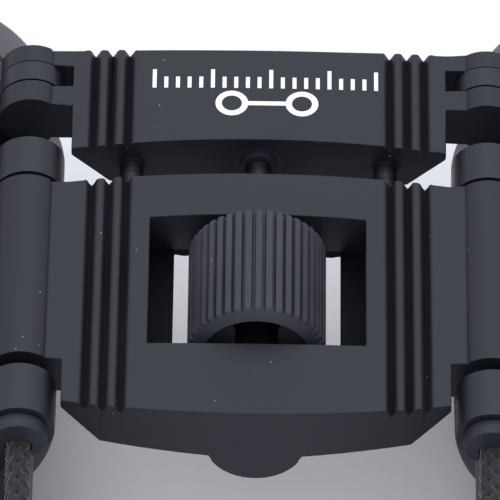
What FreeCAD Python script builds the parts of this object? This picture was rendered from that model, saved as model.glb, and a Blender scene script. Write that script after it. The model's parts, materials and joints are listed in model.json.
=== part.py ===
import FreeCAD, Part
import math
import os
import re
from FreeCAD import Vector
import Sketcher

# Compact folding binoculars with roof prisms. A main bridge carries two hinged barrels and a
# knurled focus wheel; the wheel's screw moves an eyepiece bridge on two guide rods.
# +X is the user's left, +Y points from the objectives to the eyes, +Z is up. The barrels rest
# on Z = 0, and the origin is under the middle of the object. "Along" distances are measured
# from the near face of the main bridge, where it meets its sides.

driving = {
    # barrels and their hinges
    "barrelRadius": 14.0,
    "gripThickness": 1.0,
    "tubeWall": 1.6,
    "frontWall": 0.9,
    "frontReach": 31.5,
    "rimLength": 9.0,
    "rimRise": 0.3,
    "bodyStart": 9.5,
    "gripRim": 0.5,
    "armAngle": 48.5,
    "earRadius": 3.0,
    "lugRadius": 2.95,
    "lugRoot": 1.2,
    "lugWeb": 0.85,
    "barrelEarGap": 0.36,
    "pinRadius": 1.1,
    "pinPlay": 0.2,
    "runningGap": 0.03,
    "fineEdge": 0.3,
    "roundEdge": 0.5,
    "slidingGap": 0.05,
    # main bridge
    "bridgeHalf": 16.1,
    "bridgeLength": 23.9,
    "nearBow": 1.45,
    "farBow": 0.85,
    "topRise": 2.55,
    "crown": 0.4,
    "sideDepth": 1.3,
    "bevelDepth": 5.0,
    "bevelWidth": 3.2,
    "floorDepth": 5.75,
    "floorHalf": 3.9,
    "bossDepth": 8.5,
    "bossRadius": 3.6,
    "bossFlank": 0.6,
    "bossLength": 2.0,
    "armThickness": 4.35,
    "sideGap": 0.45,
    "nearLugLead": 1.45,
    "nearLugLength": 4.75,
    "nearLugGap": 1.2,
    "farLugGap": 0.4,
    "farLugLength": 3.9,
    "grooveSpacing": 1.47,
    "grooveMiddle": 12.65,
    "grooveHalf": 0.46,
    "grooveDepth": 0.8,
    "grooveSpread": 1.6,
    # window, floor plate and wheel
    "windowHalf": 9.1,
    "windowStart": 6.1,
    "windowLength": 13.7,
    "windowBow": 0.35,
    "floorOpening": 7.05,
    "plateThickness": 1.2,
    "plateHalf": 11.6,
    "plateMargin": 3.9,
    "plateFarMargin": 3.2,
    "plateGap": 0.05,
    "screwAcross": 6.2,
    "screwEdge": 1.45,
    "screwRadius": 0.7,
    "screwHead": 1.25,
    "screwHeadDepth": 0.6,
    "screwLength": 3.6,
    "screwPlay": 0.2,
    "shaftDrop": 0.65,
    "wheelRadius": 5.8,
    "wheelGap": 1.25,
    "wheelRim": 1.95,
    "wheelEdge": 0.4,
    "wheelWeb": 4.0,
    "wheelGrooves": 38,
    "wheelGrooveHalf": 0.17,
    "wheelGrooveDepth": 0.4,
    "hubWall": 0.5,
    "shaftRadius": 1.3,
    "screwThread": 1.05,
    "bushWall": 0.45,
    "bushLength": 3.6,
    "washerThickness": 0.3,
    "washerRadius": 2.3,
    "washerPlay": 0.05,
    # eyepiece bridge
    "bridgeGap": 3.7,
    "eyeBridgeHalf": 15.95,
    "eyeBridgeLength": 11.2,
    "eyeBridgeBow": 0.95,
    "eyeEarRadius": 2.8,
    "innerEarStart": 4.95,
    "innerEarLength": 2.2,
    "knuckleLength": 2.0,
    "innerPlay": 0.2,
    "outerPlay": 0.1,
    "eyePinRadius": 0.9,
    "endWall": 0.6,
    "rodAcross": 10.8,
    "rodRadius": 1.0,
    "rodEdge": 0.2,
    "rodCollar": 0.15,
    "rodEngage": 13.5,
    "nutRadius": 2.2,
    "nutLength": 6.5,
    "nutCollar": 1.57,
    "collarLength": 0.5,
    "focusIn": 3.2,
    "focusStop": 0.4,
    # lanyard caps
    "capRadius": 2.4,
    "capLength": 1.15,
    "capStem": 2.0,
    "capStemLength": 2.1,
    "capPlay": 0.1,
    "cordRadius": 1.1,
    "cordDrop": 0.85,
    "cordSeat": 1.6,
    "knotRoom": 0.2,
    "capStep": 0.25,
    # objectives and prisms
    "objectiveRecess": 2.6,
    "ringThickness": 1.0,
    "ringWidth": 0.9,
    "seatWidth": 1.0,
    "objectiveEdge": 2.4,
    "objectiveBulge": 0.9,
    "frontSag": 0.25,
    "faceBow": 0.1,
    "domeShare": 0.9,
    "rearBulge": 0.4,
    "prismStart": 1.5,
    "prismLength": 18.0,
    "prismHalf": 7.2,
    "prismAir": 0.3,
    "prismInset": 0.5,
    "prismSlant": 0.3,
    "glassMargin": 0.2,
    # eyepieces
    "ocularWall": 1.6,
    "ocularReach": 9.0,
    "flangeLength": 4.65,
    "ringLength": 2.8,
    "ringStep": 0.8,
    "ringGap": 0.1,
    "neckStep": 2.8,
    "ocularTravel": 1.0,
    "eyecupLength": 4.7,
    "eyecupStep": 2.0,
    "cellWall": 1.4,
    "cellFlange": 1.7,
    "lensEdge": 2.0,
    "lensRim": 1.2,
    "lensRise": 0.3,
    "lensRingLength": 0.8,
    "fieldRecess": 3.0,
    "fieldSeat": 1.0,
    "eyeRecess": 1.6,
    "stopWidth": 0.7,
    "stopLength": 0.8,
    "cupEdge": 0.6,
    "cupLip": 0.4,
    # the lanyard's put-away coil
    "coilMiddle": 12.5,
    "coilHalf": 3.4,
    "coilHeight": 6.8,
    "coilFront": 68.5,
}

worked_out = {
    "boreRadius": "barrelRadius - gripThickness - tubeWall",
    "ringRadius": "barrelRadius - ringStep",
    "neckRadius": "barrelRadius - neckStep",
    "eyecupRadius": "barrelRadius - eyecupStep",
    "frontRadius": "boreRadius + frontWall",
    "arm": "barrelRadius + barrelEarGap + earRadius",
    "armAcross": "arm * cos(armAngle)",
    "armDown": "arm * sin(armAngle)",
    "hingeAcross": "bridgeHalf + sideGap + lugRadius",
    "hingeHeight": "barrelRadius + armDown",
    "barrelAcross": "hingeAcross + armAcross",
    "bridgeFloor": "topRise - floorDepth",
    "earStart": "nearLugLength - nearLugLead + nearLugGap",
    "farLugStart": "bridgeLength + farLugGap",
    "farLugEnd": "farLugStart + farLugLength",
    "windowEnd": "windowStart + windowLength",
    "plateStart": "windowStart - plateMargin",
    "plateEnd": "windowEnd + plateFarMargin",
    "wheelStart": "windowStart + wheelGap",
    "wheelEnd": "windowEnd - wheelGap",
    "hubRadius": "shaftRadius + hubWall",
    "bushRadius": "shaftRadius + runningGap + bushWall",
    "eyeStart": "bridgeLength + bridgeGap",
    "eyeEnd": "eyeStart + eyeBridgeLength",
    "innerEar": "eyeStart + innerEarStart",
    "knuckleStart": "innerEar + innerEarLength + innerPlay",
    "knuckleEnd": "knuckleStart + knuckleLength",
    "outerEar": "knuckleEnd + outerPlay",
    "barrelEnd": "knuckleStart - focusIn - focusStop",
    "gripEnd": "bridgeLength",
    "flangeEnd": "knuckleStart + flangeLength",
    "neckEnd": "flangeEnd + ringLength + 2 * ringGap",
    "cellStart": "neckEnd + ocularTravel + ringGap",
    "rearReach": "cellStart + eyecupLength",
    "nearFace": "(frontReach - rearReach) / 2",
    "rodStart": "bridgeLength - rodEngage",
    "screwEnd": "eyeEnd - focusIn - endWall",
    "ocularRadius": "boreRadius - slidingGap",
    "ocularBore": "ocularRadius - ocularWall",
    "cellRadius": "ocularBore - slidingGap",
    "cellBore": "cellRadius - cellWall",
    "pinStart": "cordSeat - capLength - nearLugLead + knotRoom",
    "objectiveLens": "objectiveRecess + ringThickness - frontReach",
    "prismEnd": "prismStart + prismLength",
}

doc = FreeCAD.newDocument("binoculars")


def fill_sheet(name, cells):
    sheet = doc.addObject("Spreadsheet::Sheet", name)
    for row, (alias, content) in enumerate(cells.items(), 1):
        sheet.set(f"A{row}", alias)
        sheet.set(f"B{row}", content)
        sheet.setAlias(f"B{row}", alias)
    doc.recompute()
    return sheet


def named(text):
    # puts the sheet's name before each size in an expression
    def owner(word):
        name = word.group()
        return "Sizes." + name if name in driving else "Derived." + name if name in worked_out else name

    return re.sub(r"[A-Za-z]\w*", owner, str(text))


sizes = fill_sheet("Sizes", {alias: str(number) for alias, number in driving.items()})
formulas = {alias: "=" + named(text).replace("Derived.", "") for alias, text in worked_out.items()}
fill_sheet("Derived", formulas)


def value(text):
    return float(sizes.evalExpression(named(text)))


def bind(thing, path, text):
    thing.setExpression(path, named(text))


pieces = {}


def body_for(label, across="0", up="0"):
    # a piece whose own frame is moved to its axis, with "along" 0 at the main bridge's near face
    body = doc.addObject("PartDesign::Body", label)
    body.Label = label
    bind(body, "Placement.Base.x", across)
    bind(body, "Placement.Base.y", "nearFace")
    bind(body, "Placement.Base.z", up)
    pieces[label] = body
    return body


def plane_of(body, role):
    return next(f for f in body.Origin.OriginFeatures if f.Role == role)


def fix(sketch, kind, start, end, text):
    index = sketch.addConstraint(Sketcher.Constraint(kind, *start, *end, value(text)))
    bind(sketch, f"Constraints[{index}]", text)


def place(sketch, point, across, up):
    # holds one point of a sketch at its two distances
    if value(across) == 0:
        sketch.addConstraint(Sketcher.Constraint("PointOnObject", *point, -2))
    else:
        fix(sketch, "DistanceX", (-1, 1), point, across)
    if value(up) == 0:
        sketch.addConstraint(Sketcher.Constraint("PointOnObject", *point, -1))
    else:
        fix(sketch, "DistanceY", (-1, 1), point, up)


def draw_polygon(sketch, points):
    # a third number bows the side that starts at that point, to its left
    corners = [Vector(value(p[0]), value(p[1]), 0) for p in points]
    ends = []
    for i, point in enumerate(points):
        start, end = corners[i], corners[(i + 1) % len(points)]
        if len(point) == 2:
            index = sketch.addGeometry(Part.LineSegment(start, end))
            ends.append((index, 1, 2))
            continue
        chord = end - start
        bow = value(point[2])
        middle = (start + end) * 0.5 + Vector(-chord.y, chord.x, 0).normalize() * bow
        # an arc in a sketch runs anticlockwise, so one that bows to the left is drawn from its end
        if bow > 0:
            ends.append((sketch.addGeometry(Part.Arc(end, middle, start)), 2, 1))
        else:
            ends.append((sketch.addGeometry(Part.Arc(start, middle, end)), 1, 2))
    for i, point in enumerate(points):
        index, first, last = ends[i]
        following = ends[(i + 1) % len(points)]
        sketch.addConstraint(Sketcher.Constraint("Coincident", index, last, following[0], following[1]))
        place(sketch, (index, first), point[0], point[1])
        if len(point) == 3:
            other = points[(i + 1) % len(points)]
            half = f"((({other[0]}) - ({point[0]}))^2 + (({other[1]}) - ({point[1]}))^2) / 4"
            radius = f"({half} + ({point[2]})^2) / (2 * abs({point[2]}))"
            fix(sketch, "Radius", (index,), (), radius)


def draw_circle(sketch, across, up, radius):
    centre = Vector(value(across), value(up), 0)
    index = sketch.addGeometry(Part.Circle(centre, Vector(0, 0, 1), value(radius)))
    place(sketch, (index, 3), across, up)
    fix(sketch, "Radius", (index,), (), radius)


def sketch_on(body, role, outlines, offset="0"):
    sketch = body.newObject("Sketcher::SketchObject", "Sketch")
    sketch.AttachmentSupport = [(plane_of(body, role), "")]
    sketch.MapMode = "FlatFace"
    bind(sketch, "AttachmentOffset.Base.z", offset)
    for outline in outlines:
        if isinstance(outline, list):
            draw_polygon(sketch, outline)
        else:
            draw_circle(sketch, *outline)
    return sketch


def extrude(body, role, outlines, start, end, cut=False):
    # adds or cuts the outlines between two distances along the plane's own axis
    backwards = role == "XZ_Plane"
    sketch = sketch_on(body, role, outlines, f"-({start})" if backwards else start)
    doc.recompute()
    before = body.Shape.Volume if body.Tip else 0.0
    feature = body.newObject("PartDesign::Pocket" if cut else "PartDesign::Pad", "Cut" if cut else "Add")
    feature.Profile = sketch
    feature.Reversed = backwards != cut
    bind(feature, "Length", f"({end}) - ({start})")
    doc.recompute()
    changed = body.Shape.Volume - before
    if abs(changed) < 1e-4 or (changed > 0) == cut:
        raise ValueError(f"{body.Label}: a feature changed the volume by {changed:.5f}")
    return feature


def turned(label, outline, across="0", up="0", role="XY_Plane"):
    # a piece turned about its own axis, from its outline as (radius, along)
    body = body_for(label, across, up)
    sketch = sketch_on(body, role, [outline])
    feature = body.newObject("PartDesign::Revolution", "Turn")
    feature.Profile = sketch
    feature.ReferenceAxis = (sketch, ["V_Axis"])
    feature.Angle = 360
    return body


def tube(label, inner, outer, start, end, across="0", up="0"):
    outline = [(inner, start), (outer, start), (outer, end), (inner, end)]
    return turned(label, outline, across, up)


# cross-sections shared by the two bridges, with 0 at the height of the hinges

def bridge_section(half):
    side, bevel = "topRise - crown", "topRise - bevelDepth"
    return [
        (half, side, "-crown"), (f"-({half})", side),
        (f"-({half})", "topRise - sideDepth"), (f"-({half} - bevelWidth)", bevel),
        ("-floorHalf", "bridgeFloor"), ("floorHalf", "bridgeFloor"),
        (f"{half} - bevelWidth", bevel), (half, "topRise - sideDepth"),
    ]


def groove_sections(half):
    outlines = []
    for side in (-1, 1):
        for step in (-1, 0, 1):
            middle = f"{side} * (grooveMiddle + {step} * grooveSpacing)"
            skin = f"topRise - crown * ((grooveMiddle + {step} * grooveSpacing) / {half})^2"
            outlines.append([
                (f"{middle} - grooveSpread * grooveHalf", f"{skin} + (grooveSpread - 1) * grooveDepth"),
                (middle, f"{skin} - grooveDepth"),
                (f"{middle} + grooveSpread * grooveHalf", f"{skin} + (grooveSpread - 1) * grooveDepth"),
            ])
    return outlines


def ear_arm(side):
    low = "topRise - crown - armThickness"
    inner, outer = f"{side} * (bridgeHalf - bevelWidth)", f"{side} * hingeAcross"
    return [(inner, low), (outer, low), (outer, "topRise - crown"), (inner, "topRise - crown")]


def make_main_bridge():
    body = body_for("main_bridge", "0", "hingeHeight")
    extrude(body, "XZ_Plane", [bridge_section("bridgeHalf")], "-nearBow", "bridgeLength + farBow")
    boss = [
        ("-floorHalf", "bridgeFloor + 1"), ("-floorHalf", "bridgeFloor"),
        ("-bossRadius", "topRise - bossDepth + bossRadius * bossFlank", "-bossRadius * bossFlank"),
        ("bossRadius", "topRise - bossDepth + bossRadius * bossFlank"),
        ("floorHalf", "bridgeFloor"), ("floorHalf", "bridgeFloor + 1"),
    ]
    extrude(body, "XZ_Plane", [boss], "-nearBow", "bossLength")
    extrude(body, "XZ_Plane", [boss], "plateEnd + plateGap", "bridgeLength + farBow")
    # the bowed near and far faces are cut in plan
    wide = "bridgeHalf + 1"
    near = [("-bridgeHalf", "0", "-nearBow"), ("bridgeHalf", "0"), (wide, "0"), (wide, "-nearBow - 1"),
            (f"-({wide})", "-nearBow - 1"), (f"-({wide})", "0")]
    far = [("bridgeHalf", "bridgeLength", "-farBow"), ("-bridgeHalf", "bridgeLength"),
           (f"-({wide})", "bridgeLength"), (f"-({wide})", "bridgeLength + farBow + 1"),
           (wide, "bridgeLength + farBow + 1"), (wide, "bridgeLength")]
    extrude(body, "XY_Plane", [near], "-bossDepth", "bossDepth", cut=True)
    extrude(body, "XY_Plane", [far], "-bossDepth", "bossDepth", cut=True)
    for side in (1, -1):
        extrude(body, "XZ_Plane", [ear_arm(side)], "earStart", "bridgeLength")
        extrude(body, "XZ_Plane", [(f"{side} * hingeAcross", "0", "earRadius")], "earStart", "bridgeLength")
    extrude(body, "XZ_Plane", groove_sections("bridgeHalf"), "-nearBow - 1", "bridgeLength + farBow + 1",
            cut=True)
    window = [("-windowHalf", "windowStart"), ("windowHalf", "windowStart"),
              ("windowHalf", "windowEnd", "-windowBow"), ("-windowHalf", "windowEnd")]
    extrude(body, "XY_Plane", [window], "-bossDepth", "bossDepth", cut=True)
    seat = [("-plateHalf - plateGap", "plateStart - plateGap"), ("plateHalf + plateGap",
            "plateStart - plateGap"),
            ("plateHalf + plateGap", "plateEnd + plateGap"),
            ("-plateHalf - plateGap", "plateEnd + plateGap")]
    extrude(body, "XY_Plane", [seat], "-bossDepth", "bridgeFloor + plateThickness", cut=True)
    pins = [(f"{side} * hingeAcross", "0", "pinRadius") for side in (1, -1)]
    extrude(body, "XZ_Plane", pins, "earStart - 1", "bridgeLength + 1", cut=True)
    rods = [(f"{side} * rodAcross", "-shaftDrop", "rodRadius + slidingGap") for side in (1, -1)]
    extrude(body, "XZ_Plane", rods, "rodStart - focusIn - endWall", "bridgeLength + 2", cut=True)
    shaft = [("0", "-shaftDrop", "bushRadius")]
    extrude(body, "XZ_Plane", shaft, "windowStart - bushLength", "windowStart + 1", cut=True)
    extrude(body, "XZ_Plane", shaft, "windowEnd - 1", "bridgeLength + 2", cut=True)
    holes = [(f"{side} * screwAcross", along, "screwRadius")
             for side in (1, -1) for along in ("plateStart + screwEdge", "plateEnd - screwEdge")]
    top = "bridgeFloor + screwHeadDepth + screwLength"
    extrude(body, "XY_Plane", holes, "bridgeFloor", top, cut=True)


def make_floor_plate():
    body = body_for("bridge_floor_plate", "0", "hingeHeight")
    slope = "(floorDepth - bevelDepth) / (bridgeHalf - bevelWidth - floorHalf)"
    edge = f"bridgeFloor + {slope} * (plateHalf - floorHalf)"
    section = [("-plateHalf", "bridgeFloor + plateThickness"), ("-plateHalf", edge), ("-floorHalf",
            "bridgeFloor"),
               ("floorHalf", "bridgeFloor"), ("plateHalf", edge),
               ("plateHalf", "bridgeFloor + plateThickness")]
    extrude(body, "XZ_Plane", [section], "plateStart", "plateEnd")
    far = "windowEnd + windowBow"
    opening = [("-floorOpening", "windowStart"), ("floorOpening", "windowStart"),
               ("floorOpening", far), ("-floorOpening", far)]
    extrude(body, "XY_Plane", [opening], "-bossDepth", "bossDepth", cut=True)
    wide, low = "bushRadius + slidingGap", "-shaftDrop - bushRadius - slidingGap"
    channel = [(f"-({wide})", low), (wide, low), (wide, "0"), (f"-({wide})", "0")]
    extrude(body, "XZ_Plane", [channel], "plateStart - 1", "plateEnd + 1", cut=True)
    corners = [(side, along) for side in (1, -1) for along in ("plateStart + screwEdge",
            "plateEnd - screwEdge")]
    shanks = [(f"{side} * screwAcross", along, "screwRadius") for side, along in corners]
    heads = [(f"{side} * screwAcross", along, "screwHead") for side, along in corners]
    extrude(body, "XY_Plane", shanks, "-bossDepth", "bossDepth", cut=True)
    extrude(body, "XY_Plane", heads, "-bossDepth", "bridgeFloor + screwHeadDepth", cut=True)


def make_floor_screws():
    # four small pan-head screws, each with a cross recess
    screws = []
    for side in (1, -1):
        for along in ("plateStart + screwEdge", "plateEnd - screwEdge"):
            solids = []
            for radius, low, length in (("screwHead", "bridgeFloor", "screwHeadDepth"),
                                        ("screwRadius", "bridgeFloor + screwHeadDepth",
                                        "screwLength - screwPlay")):
                rod = doc.addObject("Part::Cylinder", "ScrewPart")
                bind(rod, "Radius", radius)
                bind(rod, "Height", length)
                bind(rod, "Placement.Base.x", f"{side} * screwAcross")
                bind(rod, "Placement.Base.y", f"nearFace + {along}")
                bind(rod, "Placement.Base.z", f"hingeHeight + {low}")
                solids.append(rod)
            whole = doc.addObject("Part::MultiFuse", "Screw")
            whole.Shapes = solids
            slot = doc.addObject("Part::Box", "Slot")
            for path, text in (("Length", "screwHead"), ("Width", "screwHead / 4"), ("Height",
                    "screwHeadDepth / 2")):
                bind(slot, path, text)
            bind(slot, "Placement.Base.x", f"{side} * screwAcross - screwHead / 2")
            bind(slot, "Placement.Base.y", f"nearFace + {along} - screwHead / 8")
            bind(slot, "Placement.Base.z", "hingeHeight + bridgeFloor")
            cut = doc.addObject("Part::Cut", "SlottedScrew")
            cut.Base = whole
            cut.Tool = slot
            screws.append(cut)
    group = doc.addObject("Part::Compound", "floor_plate_screws")
    group.Links = screws
    group.Label = "floor_plate_screws"
    pieces["floor_plate_screws"] = group


def make_focus_drive():
    up = "hingeHeight - shaftDrop"
    tube("front_shaft_bush", "shaftRadius + runningGap", "bushRadius", "windowStart - bushLength",
            "windowStart",
         "0", up)
    tube("rear_shaft_bush", "shaftRadius + runningGap", "bushRadius", "windowEnd + windowBow",
         "windowEnd + windowBow + bushLength", "0", up)
    inner = "wheelRadius - wheelRim"
    wheel = turned("focus_wheel", [
        ("hubRadius", "(wheelStart + wheelEnd - wheelWeb) / 2"),
        (inner, "(wheelStart + wheelEnd - wheelWeb) / 2"),
        (inner, "wheelStart + fineEdge"), (f"{inner} + fineEdge", "wheelStart"),
        ("wheelRadius - wheelEdge", "wheelStart"),
        ("wheelRadius", "wheelStart + wheelEdge"), ("wheelRadius", "wheelEnd - wheelEdge"),
        ("wheelRadius - wheelEdge", "wheelEnd"),
        (f"{inner} + fineEdge", "wheelEnd"), (inner, "wheelEnd - fineEdge"),
        (inner, "(wheelStart + wheelEnd + wheelWeb) / 2"),
        ("hubRadius", "(wheelStart + wheelEnd + wheelWeb) / 2"),
    ], "0", up)
    low, high = "wheelRadius - wheelGrooveDepth", "wheelRadius + fineEdge"
    groove = [("-wheelGrooveHalf", high), ("-wheelGrooveHalf", low), ("wheelGrooveHalf", low),
              ("wheelGrooveHalf", high)]
    cut = extrude(wheel, "XZ_Plane", [groove], "wheelStart - 1", "wheelEnd + 1", cut=True)
    ring = wheel.newObject("PartDesign::PolarPattern", "Knurling")
    ring.Originals = [cut]
    ring.Axis = (plane_of(wheel, "Y_Axis"), [""])
    ring.Angle = 360
    bind(ring, "Occurrences", "wheelGrooves")
    wheel.Tip = ring
    hub_start = "windowStart + washerThickness + 2 * washerPlay"
    hub_end = "windowEnd + windowBow - washerThickness - 2 * washerPlay"
    tube("wheel_hub", "shaftRadius", "hubRadius", hub_start, hub_end, "0", up)
    tube("front_thrust_washer", "shaftRadius", "washerRadius", "windowStart + washerPlay",
         "windowStart + washerPlay + washerThickness", "0", up)
    tube("rear_thrust_washer", "shaftRadius", "washerRadius",
            "windowEnd + windowBow - washerPlay - washerThickness",
         "windowEnd + windowBow - washerPlay", "0", up)
    step = "bridgeLength + farBow / 2"
    turned("focus_screw", [
        ("0", "windowStart - bushLength + fineEdge"),
        ("shaftRadius", "windowStart - bushLength + fineEdge"),
        ("shaftRadius", step), ("screwThread", step), ("screwThread", "screwEnd - fineEdge"),
        ("screwThread - fineEdge", "screwEnd"), ("0", "screwEnd"),
    ], "0", up)


def make_eyepiece_bridge():
    body = body_for("eyepiece_bridge", "0", "hingeHeight")
    extrude(body, "XZ_Plane", [bridge_section("eyeBridgeHalf")], "eyeStart", "eyeEnd")
    bow = [("-eyeBridgeHalf", "eyeStart", "eyeBridgeBow"), ("eyeBridgeHalf", "eyeStart")]
    bow += [("eyeBridgeHalf", "eyeStart - 1"), ("-eyeBridgeHalf", "eyeStart - 1")]
    extrude(body, "XY_Plane", [bow], "-bossDepth", "bossDepth", cut=True)
    for side in (1, -1):
        for start, end in (("innerEar", "innerEar + innerEarLength"), ("outerEar", "eyeEnd")):
            extrude(body, "XZ_Plane", [ear_arm(side)], start, end)
            extrude(body, "XZ_Plane", [(f"{side} * hingeAcross", "0", "eyeEarRadius")], start, end)
    extrude(body, "XZ_Plane", groove_sections("eyeBridgeHalf"), "eyeStart - 1", "eyeEnd + 1", cut=True)
    rods = [(f"{side} * rodAcross", "-shaftDrop", "rodRadius") for side in (1, -1)]
    extrude(body, "XZ_Plane", rods, "eyeStart - 1", "eyeEnd - endWall", cut=True)
    collars = [(f"{side} * rodAcross", "-shaftDrop", "rodRadius + rodCollar") for side in (1, -1)]
    extrude(body, "XZ_Plane", collars,
            "eyeStart + eyeBridgeBow * (1 - (rodAcross / eyeBridgeHalf)^2) - fineEdge",
            "eyeStart + eyeBridgeBow * (1 - (rodAcross / eyeBridgeHalf)^2) + fineEdge")
    extrude(body, "XZ_Plane", rods, "eyeStart - 1", "eyeEnd - endWall", cut=True)
    nut = "eyeStart + eyeBridgeBow"
    extrude(body, "XZ_Plane", [("0", "-shaftDrop", "nutRadius")], "eyeStart - 1", f"{nut} + nutLength",
            cut=True)
    extrude(body, "XZ_Plane", [("0", "-shaftDrop", "screwThread + 2 * slidingGap")],
            f"{nut} + nutLength - 1",
            "eyeEnd - endWall / 2", cut=True)
    pins = [(f"{side} * hingeAcross", "0", "eyePinRadius") for side in (1, -1)]
    extrude(body, "XZ_Plane", pins, "innerEar + endWall", "eyeEnd - endWall", cut=True)
    turned("focus_nut", [
        ("screwThread + slidingGap", f"{nut} - collarLength"), ("nutCollar", f"{nut} - collarLength"),
        ("nutCollar", nut), ("nutRadius", nut), ("nutRadius", f"{nut} + nutLength"),
        ("screwThread + slidingGap", f"{nut} + nutLength"),
    ], "0", "hingeHeight - shaftDrop")


def make_side(name, side):
    hinge = f"{side} * hingeAcross"
    turned(f"{name}_hinge_pin", [
        ("0", "pinStart"),
        ("pinRadius", "pinStart"),
        ("pinRadius", "farLugEnd - endWall - pinPlay"), ("0", "farLugEnd - endWall - pinPlay"),
    ], hinge, "hingeHeight")
    turned(f"{name}_eyepiece_pin", [
        ("0", "innerEar + endWall"), ("eyePinRadius", "innerEar + endWall"),
        ("eyePinRadius", "eyeEnd - endWall"), ("0", "eyeEnd - endWall"),
    ], hinge, "hingeHeight")
    turned(f"{name}_guide_rod", [
        ("0", "rodStart"), ("rodRadius - rodEdge", "rodStart"), ("rodRadius", "rodStart + rodEdge"),
        ("rodRadius", "eyeEnd - endWall"), ("0", "eyeEnd - endWall"),
    ], f"{side} * rodAcross", "hingeHeight - shaftDrop")
    make_lanyard_cap(name, hinge)
    make_barrel(name, side)
    make_optics(name, f"{side} * barrelAcross")
    make_eyepiece(name, side)


def make_lanyard_cap(name, hinge):
    # a stepped cap on the end of the hinge pin; the cord's knot is inside its lower half
    front, shoulder = "-nearLugLead - capPlay - capLength", "-nearLugLead - capPlay"
    cap = turned(f"{name}_lanyard_cap", [
        ("0", front), ("capRadius - fineEdge", front), ("capRadius", f"{front} + fineEdge"),
        ("capRadius", shoulder),
        ("capStem", shoulder), ("capStem", f"{shoulder} + capStemLength"),
        ("0", f"{shoulder} + capStemLength"),
    ], hinge, "hingeHeight")
    extrude(cap, "XZ_Plane", [("0", "-cordDrop", "cordRadius + slidingGap")], f"{front} - 1",
            f"{front} + cordSeat", cut=True)
    step = [("-capRadius - 1", "-0.1"), ("-capRadius - 1", "-capRadius - 1"), ("capRadius + 1",
            "-capRadius - 1"),
            ("capRadius + 1", "0.1")]
    extrude(cap, "XZ_Plane", [step], f"{front} - 1", f"{front} + capStep", cut=True)
    extrude(cap, "XZ_Plane", [("0", "0", "pinRadius")], "pinStart",
            f"{shoulder} + capStemLength + 1", cut=True)


def lug(body, side, radius, start, end, reach):
    # a barrel's hinge lug and the web that joins it to the tube wall, in the barrel's own frame
    across, up = f"{-side} * armAcross", "armDown"
    length = f"(arm - {reach})"
    half = f"({radius} * lugWeb)"
    points = []
    for far, way in ((0, 1), (0, -1), (1, -1), (1, 1)):
        points.append((
            f"{across} + {side * far} * {length} * cos(armAngle) + {side * way} * {half} * sin(armAngle)",
            f"{up} - {far} * {length} * sin(armAngle) + {way} * {half} * cos(armAngle)",
        ))
    extrude(body, "XZ_Plane", [points], start, end)
    extrude(body, "XZ_Plane", [(across, up, radius)], start, end)


def make_barrel(name, side):
    front, mouth = "-frontReach", "boreRadius"
    seat = "objectiveLens + objectiveEdge"
    body = turned(f"{name}_barrel_tube", [
        (mouth, front), ("frontRadius + rimRise - fineEdge", front),
        ("frontRadius + rimRise", f"{front} + fineEdge"), ("frontRadius + rimRise", f"{front} + rimLength"),
        ("frontRadius", f"{front} + rimLength"), ("frontRadius", "bodyStart - 1"),
        ("barrelRadius - roundEdge", "bodyStart"), ("barrelRadius", "bodyStart + roundEdge"),
        ("barrelRadius", "bodyStart + roundEdge + gripRim"),
        ("barrelRadius - gripThickness", "bodyStart + roundEdge + gripRim"),
        ("barrelRadius - gripThickness", "gripEnd"),
        ("barrelRadius", "gripEnd"), ("barrelRadius", "barrelEnd - fineEdge"),
        ("barrelRadius - fineEdge", "barrelEnd"),
        ("boreRadius", "barrelEnd"), ("boreRadius", "prismEnd + stopLength"),
        ("boreRadius - stopLength", "prismEnd + stopLength"),
        ("boreRadius - stopLength", "prismEnd"), ("boreRadius", "prismEnd"),
        ("boreRadius", f"{seat} + seatWidth"),
        ("boreRadius - ringWidth", f"{seat} + seatWidth"), ("boreRadius - ringWidth", seat),
        ("boreRadius", seat),
    ], f"{side} * barrelAcross", "barrelRadius")
    lug(body, side, "lugRadius", "-nearLugLead", "nearLugLength - nearLugLead",
            "(frontRadius - lugRoot / 2)")
    lug(body, side, "lugRadius", "farLugStart", "farLugEnd", "(frontRadius - lugRoot / 2)")
    across, up = f"{-side} * armAcross", "armDown"
    extrude(body, "XZ_Plane", [(across, up, "pinRadius + runningGap")], "-nearLugLead - 1",
            "farLugEnd - endWall", cut=True)
    extrude(body, "XZ_Plane", [(across, up, "capStem + slidingGap")], "-nearLugLead - 1",
            "capStemLength - nearLugLead", cut=True)
    tube(f"{name}_barrel_grip", "barrelRadius - gripThickness", "barrelRadius",
            "bodyStart + roundEdge + gripRim",
         "gripEnd", f"{side} * barrelAcross", "barrelRadius")


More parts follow.
